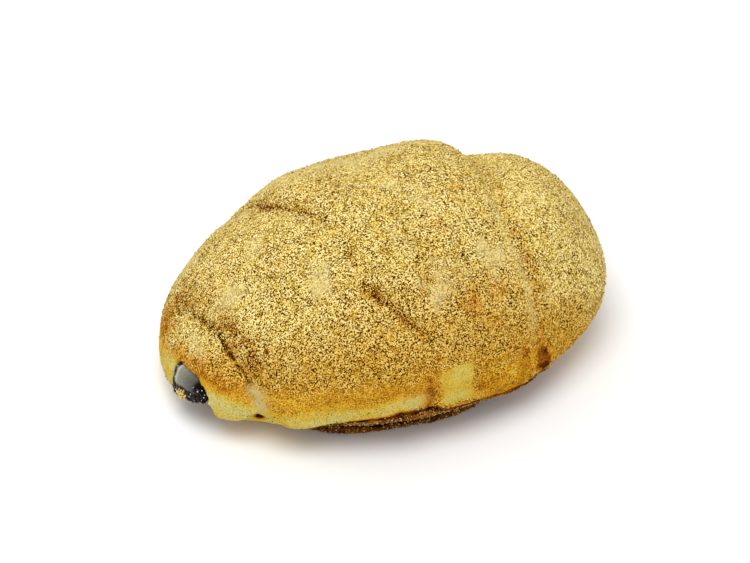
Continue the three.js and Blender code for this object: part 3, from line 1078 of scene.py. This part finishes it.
def dust_colour(finish, bright):
    """Golden to pale powder by thickness, with dark pores of crust and painted shade between the grains,
    and smooth smears that also carry the painted sheen along the rim and the painted highlight on the right
    ridge.
    """
    golden_dust = finish.ramp(bright, [
        (0.0, paint(50, 20, 0)),
        (0.33, paint(74, 38, 0)),
        (0.44, paint(126, 78, 4)),
        (0.56, paint(178, 126, 26)),
        (0.8, paint(198, 151, 50)),
        (1.0, paint(229, 192, 97)),
    ])
    pale_dust = finish.ramp(bright, [
        (0.0, paint(58, 24, 0)),
        (0.4, paint(84, 40, 0)),
        (0.5, paint(138, 90, 0)),
        (0.59, paint(195, 160, 44)),
        (0.69, paint(212, 183, 84)),
        (0.86, paint(220, 194, 105)),
        (1.0, paint(246, 228, 158)),
    ])
    dust = finish.mix(finish.field("thick"), golden_dust, pale_dust)
    ragged = finish.span(finish.clouds(SMEAR_EDGE_SIZE, 3.0, 0.6), 0.3, 0.7, -0.25, 0.25)
    smooth = finish.span(finish.math("ADD", finish.field("smear_and_sheen"), ragged), 0.2, 0.9, 0.0, 0.58)
    return finish.mix(smooth, dust, paint(*SMEAR_AND_SHEEN_COLOUR))


def crust_finish():
    finish = Finish("dusted_crust")
    chance, from_middle = finish.cells(GRAIN_SIZE, GRAIN_WOBBLE)
    bright = grain_brightness(finish, chance)
    cover = finish.math("ADD", finish.field("powder"), finish.span(chance, 0.0, 1.0, -0.3, 0.3))
    covered = finish.span(cover, 0.3, 0.6)
    colour = finish.mix(covered, bare_crust_colour(finish, bright), dust_colour(finish, bright))
    reddened = finish.mix(1.0, colour, FLUSH_TINT, "MULTIPLY")
    colour = finish.mix(finish.field("flush"), colour, reddened)
    colour = finish.mix(finish.field("flour_and_highlight"), colour, paint(*FLOUR_COLOUR))
    return finish.surface(colour, MATT_ROUGHNESS, NO_GLOSS, finish.bump(from_middle, 0.35, GRAIN_DENT))


# Filling

def filling_fields(places):
    """The smooth lens under the rim, where the glossy filling's reflection is painted grey, and the painted
    highlight along its edge.
    """
    y, z = places["y"], places["z"]
    above = z - LENS_LOW_Z - LENS_SLOPE * (LENS_FAR_Y - y)
    lens = smoothstep(above, -0.4, 0.9) * between(y, LENS_NEAR_Y, LENS_FAR_Y, 0.5)
    return lens, lens * bell(y - LENS_FAR_Y + LENS_EDGE_INSET, LENS_EDGE_REACH)


def make_filling():
    piece = copy_of_node("filling", "dark_filling")
    refine(piece, FILLING_VOXEL, FILLING_SMOOTHING)
    points = vertex_points(piece)
    places = roll_places(points)
    lens, edge = filling_fields(places)
    lumps = cloud(points, LUMP_SIZE, 6) + 0.5 * cloud(points, SMALL_LUMP_SIZE, 7)
    raise_surface(piece, MM * (LUMP_HEIGHT * lumps * (1 - lens) + LENS_HEIGHT * lens))
    # The lens field marks where the grey painted reflection goes, the next field holds the painted
    # highlight along its edge, and depth makes the reflection lighter towards the far side.
    store_field(piece, "lens", lens)
    store_field(piece, "edge", edge)
    store_field(piece, "depth", smoothstep(places["y"], LENS_NEAR_Y, LENS_FAR_Y))
    select_only(piece)
    bpy.ops.object.shade_smooth()
    piece.data.materials.append(filling_finish())
    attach(piece, "root")
    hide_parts("filling")
    return piece, places


def filling_finish():
    finish = Finish("dark_filling")
    chance, from_middle = finish.cells(FILLING_GRAIN_SIZE, FILLING_GRAIN_WOBBLE)
    grain = finish.clouds(FILLING_MOTTLE_SIZE, 2.0)
    # painted reflection: grey, lighter towards the far side, mottled, with a painted highlight along its
    # edge
    painted_reflection = finish.mix(finish.field("depth"), paint(*REFLECTION_NEAR_COLOUR), paint(*REFLECTION_FAR_COLOUR))
    mottle = finish.span(grain, 0.35, 0.65, 0.0, 0.35)
    painted_reflection = finish.mix(mottle, painted_reflection, paint(*REFLECTION_MOTTLE_COLOUR))
    painted_reflection = finish.mix(finish.field("edge"), painted_reflection, paint(*LENS_RIM_HIGHLIGHT_COLOUR))
    # Black filling, with painted glints in the lightest stop
    black_with_glints = finish.ramp(chance, [
        (0.0, paint(4, 2, 2)),
        (0.65, paint(12, 6, 5)),
        (0.86, paint(30, 14, 11)),
        (0.97, paint(84, 60, 50)),
        (1.0, paint(235, 228, 220)),
    ])
    colour = finish.mix(finish.field("lens"), black_with_glints, painted_reflection)
    dents = finish.bump(from_middle, 0.15, GRAIN_DENT)
    return finish.surface(colour, FILLING_ROUGHNESS, FILLING_GLOSS, dents)


# Powder grains

def grain_shape(kind):
    """Corner points and faces of one small grain of unit size."""
    bpy.ops.object.select_all(action="DESELECT")
    if kind == "crumb":
        bpy.ops.mesh.primitive_ico_sphere_add(subdivisions=1, radius=0.5)
    else:
        bpy.ops.mesh.primitive_uv_sphere_add(segments=4, ring_count=2, radius=0.5)
    model = bpy.context.active_object
    bpy.ops.object.mode_set(mode="EDIT")
    bpy.ops.mesh.select_all(action="SELECT")
    bpy.ops.mesh.quads_convert_to_tris()
    bpy.ops.transform.vertex_random(offset=GRAIN_UNEVENNESS, seed=GRAIN_SHAPE_SEED)
    bpy.ops.object.mode_set(mode="OBJECT")
    corners = vertex_points(model)
    faces = np.array([list(polygon.vertices) for polygon in model.data.polygons])
    bpy.data.objects.remove(model)
    return corners, faces


def random_turns(count, random):
    """Rotation matrices spread evenly over all directions."""
    spin = random.normal(size=(count, 4))
    a, b, c, d = (spin / np.linalg.norm(spin, axis=1)[:, None]).T
    return np.stack([
        np.stack([1 - 2 * (c * c + d * d), 2 * (b * c - a * d), 2 * (b * d + a * c)], -1),
        np.stack([2 * (b * c + a * d), 1 - 2 * (b * b + d * d), 2 * (c * d - a * b)], -1),
        np.stack([2 * (b * d - a * c), 2 * (c * d + a * b), 1 - 2 * (b * b + c * c)], -1),
    ], 1)


def scatter_on(piece, density, count, random):
    """Seeded points on a piece, more where the density is high, with the normals there."""
    mesh = piece.data
    mesh.calc_loop_triangles()
    triangles = np.zeros(len(mesh.loop_triangles) * 3, dtype=np.int32)
    mesh.loop_triangles.foreach_get("vertices", triangles)
    triangles = triangles.reshape(-1, 3)
    points, normals = vertex_points(piece), vertex_normals(piece)
    first, second, third = (points[triangles[:, corner]] for corner in range(3))
    area = np.linalg.norm(np.cross(second - first, third - first), axis=1) / 2
    weight = area * density[triangles].mean(axis=1)
    chosen = random.choice(len(triangles), size=count, p=weight / weight.sum())
    share = random.random((count, 2))
    over = share.sum(axis=1) > 1
    share[over] = 1 - share[over]
    mixture = np.column_stack([1 - share.sum(axis=1), share])[:, :, None]
    corners = triangles[chosen]
    return (points[corners] * mixture).sum(axis=1), (normals[corners] * mixture).sum(axis=1)


def make_grains(name, piece, density):
    """One joined mesh of loose grains that lie on a piece."""
    kind = GRAINS[name]
    count = kind["count"]
    random = np.random.default_rng(RANDOM_SEED + kind["seed"])
    corners, faces = grain_shape(kind["shape"])
    places, normals = scatter_on(piece, density, count, random)
    small, large = kind["sizes"]
    size = small * (large / small) ** random.beta(*GRAIN_SIZE_SPREAD, count)
    stretch = size[:, None] * random.uniform(*GRAIN_STRETCH, (count, 3))
    turned = np.einsum("gij,gvj->gvi", random_turns(count, random), corners[None] * stretch[:, None])
    lift = random.uniform(*GRAIN_LIFT, count) * size
    points = turned + (places + normals * lift[:, None])[:, None]
    steps = np.arange(count)[:, None, None] * len(corners)
    mesh = bpy.data.meshes.new(name)
    mesh.from_pydata(points.reshape(-1, 3), [], (faces[None] + steps).reshape(-1, 3))
    grains = bpy.data.objects.new(name, mesh)
    bpy.context.scene.collection.objects.link(grains)
    store_field(grains, "shade", np.repeat(random.random(count), len(corners)))
    mesh.materials.append(grain_finish(name, kind["colours"]))
    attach(grains, "root")


def grain_finish(name, colours):
    finish = Finish(name)
    stops = [(position, paint(*colour)) for position, colour in colours]
    return finish.surface(finish.ramp(finish.field("shade"), stops), MATT_ROUGHNESS, NO_GLOSS)


def make_powder(bread, fields):
    loose = fields["powder"] * (1 - 0.9 * fields["smear_and_sheen"]) * np.clip(1 - fields["grain_shade_and_tone"], 0.1, 1)
    clumps = 0.5 + 0.8 * np.clip(cloud(fields["points"], CLUMP_SIZE, 11), -0.4, 0.7)
    pale = loose * clumps * (0.05 + fields["thick"])
    golden = loose * clumps * (1.05 - fields["thick"])
    browned = fields["lip"] * (0.3 + fields["small"].clip(0, 1))
    make_grains("powder_crumbs", bread, pale)
    make_grains("pale_powder", bread, pale)
    make_grains("golden_powder", bread, golden)
    make_grains("fine_powder", bread, loose)
    make_grains("lip_crumbs", bread, browned)


def make_clump(filling, places):
    """A small clump of powder that sticks to the filling at the open end."""
    spot = bell(places["y"] - CLUMP_Y, CLUMP_REACH_Y) * bell(places["z"] - CLUMP_Z, CLUMP_REACH_Z)
    make_grains("powder_clump", filling, spot * (places["x"] < CLUMP_X_LIMIT))


# Floor, light and camera

def make_stage():
    bpy.ops.object.select_all(action="DESELECT")
    bpy.ops.mesh.primitive_plane_add(size=FLOOR_SIZE)
    floor = bpy.context.active_object
    floor.name = "floor"
    floor.data.materials.append(Finish("pale_floor").surface(FLOOR_COLOUR, MATT_ROUGHNESS, FLOOR_GLOSS))


def soft_light(name, place, aim, size, power):
    bpy.ops.object.light_add(type="AREA", location=place)
    light = bpy.context.active_object
    light.name = name
    light.data.shape = "DISK"
    light.data.size = size
    light.data.energy = power
    light.rotation_euler = (Vector(aim) - Vector(place)).to_track_quat("-Z", "Y").to_euler()


def make_light():
    scene = bpy.context.scene
    world = bpy.data.worlds.new("studio")
    world.use_nodes = True
    background = world.node_tree.nodes["Background"]
    background.inputs["Color"].default_value = SKY_COLOUR
    background.inputs["Strength"].default_value = SKY_STRENGTH
    scene.world = world
    soft_light("overhead_softbox", **OVERHEAD_SOFTBOX)
    soft_light("far_softbox", **FAR_SOFTBOX)
    scene.view_settings.view_transform = "Standard"
    scene.view_settings.look = "None"


def make_camera():
    azimuth, elevation = math.radians(CAMERA_AZIMUTH), math.radians(CAMERA_ELEVATION)
    back = Vector((
        math.sin(azimuth) * math.cos(elevation),
        -math.cos(azimuth) * math.cos(elevation),
        math.sin(elevation),
    ))
    bpy.ops.object.camera_add(location=Vector(CAMERA_AIM) + back * CAMERA_DISTANCE)
    camera = bpy.context.active_object
    camera.rotation_euler = (-back).to_track_quat("-Z", "Y").to_euler()
    camera.data.lens = CAMERA_LENS
    camera.data.clip_start = CAMERA_CLIP_START
    bpy.context.scene.camera = camera


make_camera()
bread, crust = make_bread()
filling, filling_places = make_filling()
make_powder(bread, crust)
make_clump(filling, filling_places)
make_stage()
make_light()
